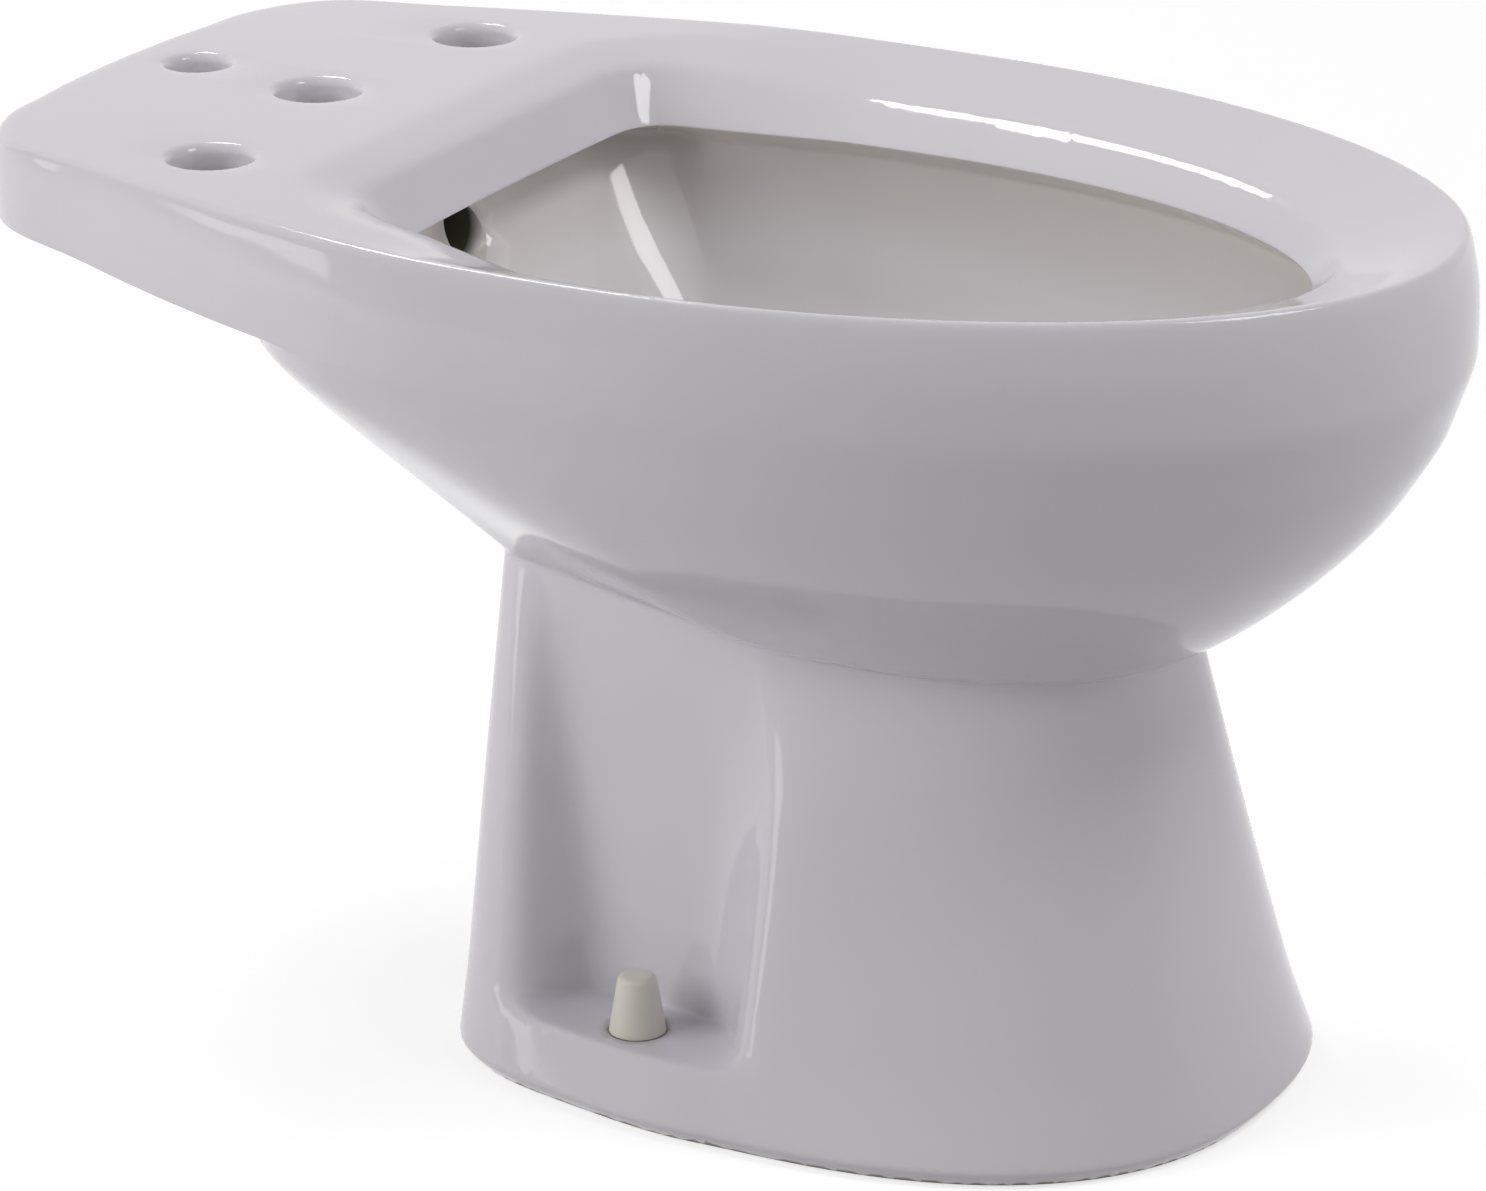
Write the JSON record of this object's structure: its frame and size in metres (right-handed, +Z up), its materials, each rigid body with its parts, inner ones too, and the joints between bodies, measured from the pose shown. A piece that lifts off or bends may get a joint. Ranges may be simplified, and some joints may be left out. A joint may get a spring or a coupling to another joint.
{
  "type": "bidet",
  "caption": "Floor-standing china bidet: open oval bowl, drilled tap deck, flared pedestal with capped floor bolts, and a pop-up waste.",
  "frame": {"origin": "on the floor, under the middle of the casting's plan", "axes": "+Z up, +Y from the nose towards the tap deck, +X to the right of someone facing the deck"},
  "size_m": [0.3702, 0.607, 0.365],
  "materials": {
    "glaze": "gloss",
    "ivory_plastic": "satin",
    "white_plastic": "matte",
    "brass": "satin",
    "chrome": "polished",
    "zinc_steel": "satin",
    "rubber": "matte"
  },
  "bodies": {
    "bidet": {"china_body": "glaze", "floor_bolts": "brass", "cap_retainers": "white_plastic", "bolt_washers": "zinc_steel", "bolt_nuts": "brass", "waste_body": "chrome", "flange_seal": "rubber", "under_gasket": "rubber", "friction_washer": "white_plastic", "lock_nut": "brass", "tailpiece": "chrome", "slip_seal": "rubber", "slip_nut": "chrome", "pivot_seat": "white_plastic", "pivot_nut": "chrome"},
    "plug": {"plug_head": "chrome", "plug_seal": "rubber", "plug_stem": "white_plastic"},
    "lever": {"pivot_rod": "chrome", "pivot_ball": "white_plastic"},
    "cap_left": {"bolt_cap_left": "ivory_plastic"},
    "cap_right": {"bolt_cap_right": "ivory_plastic"}
  },
  "joints": [
    {"name": "plug_lift", "type": "slide", "parent": "bidet", "child": "plug", "axis": [0, 0, 1], "range_m": [0, 0.00952]},
    {"name": "pivot_tilt", "type": "hinge", "parent": "bidet", "child": "lever", "pos_m": [0, 0.044, 0.13316], "axis": [-1, 0, 0], "range_deg": [0, 20.01]},
    {"name": "cap_left_lift", "type": "slide", "parent": "bidet", "child": "cap_left", "axis": [0, 0, 1], "range_m": [0, 0.03]},
    {"name": "cap_right_lift", "type": "slide", "parent": "bidet", "child": "cap_right", "axis": [0, 0, 1], "range_m": [0, 0.03]}
  ],
  "couplings": [
    {"joint": "pivot_tilt", "follows": "plug_lift", "rad_per_m": 36.66}
  ]
}
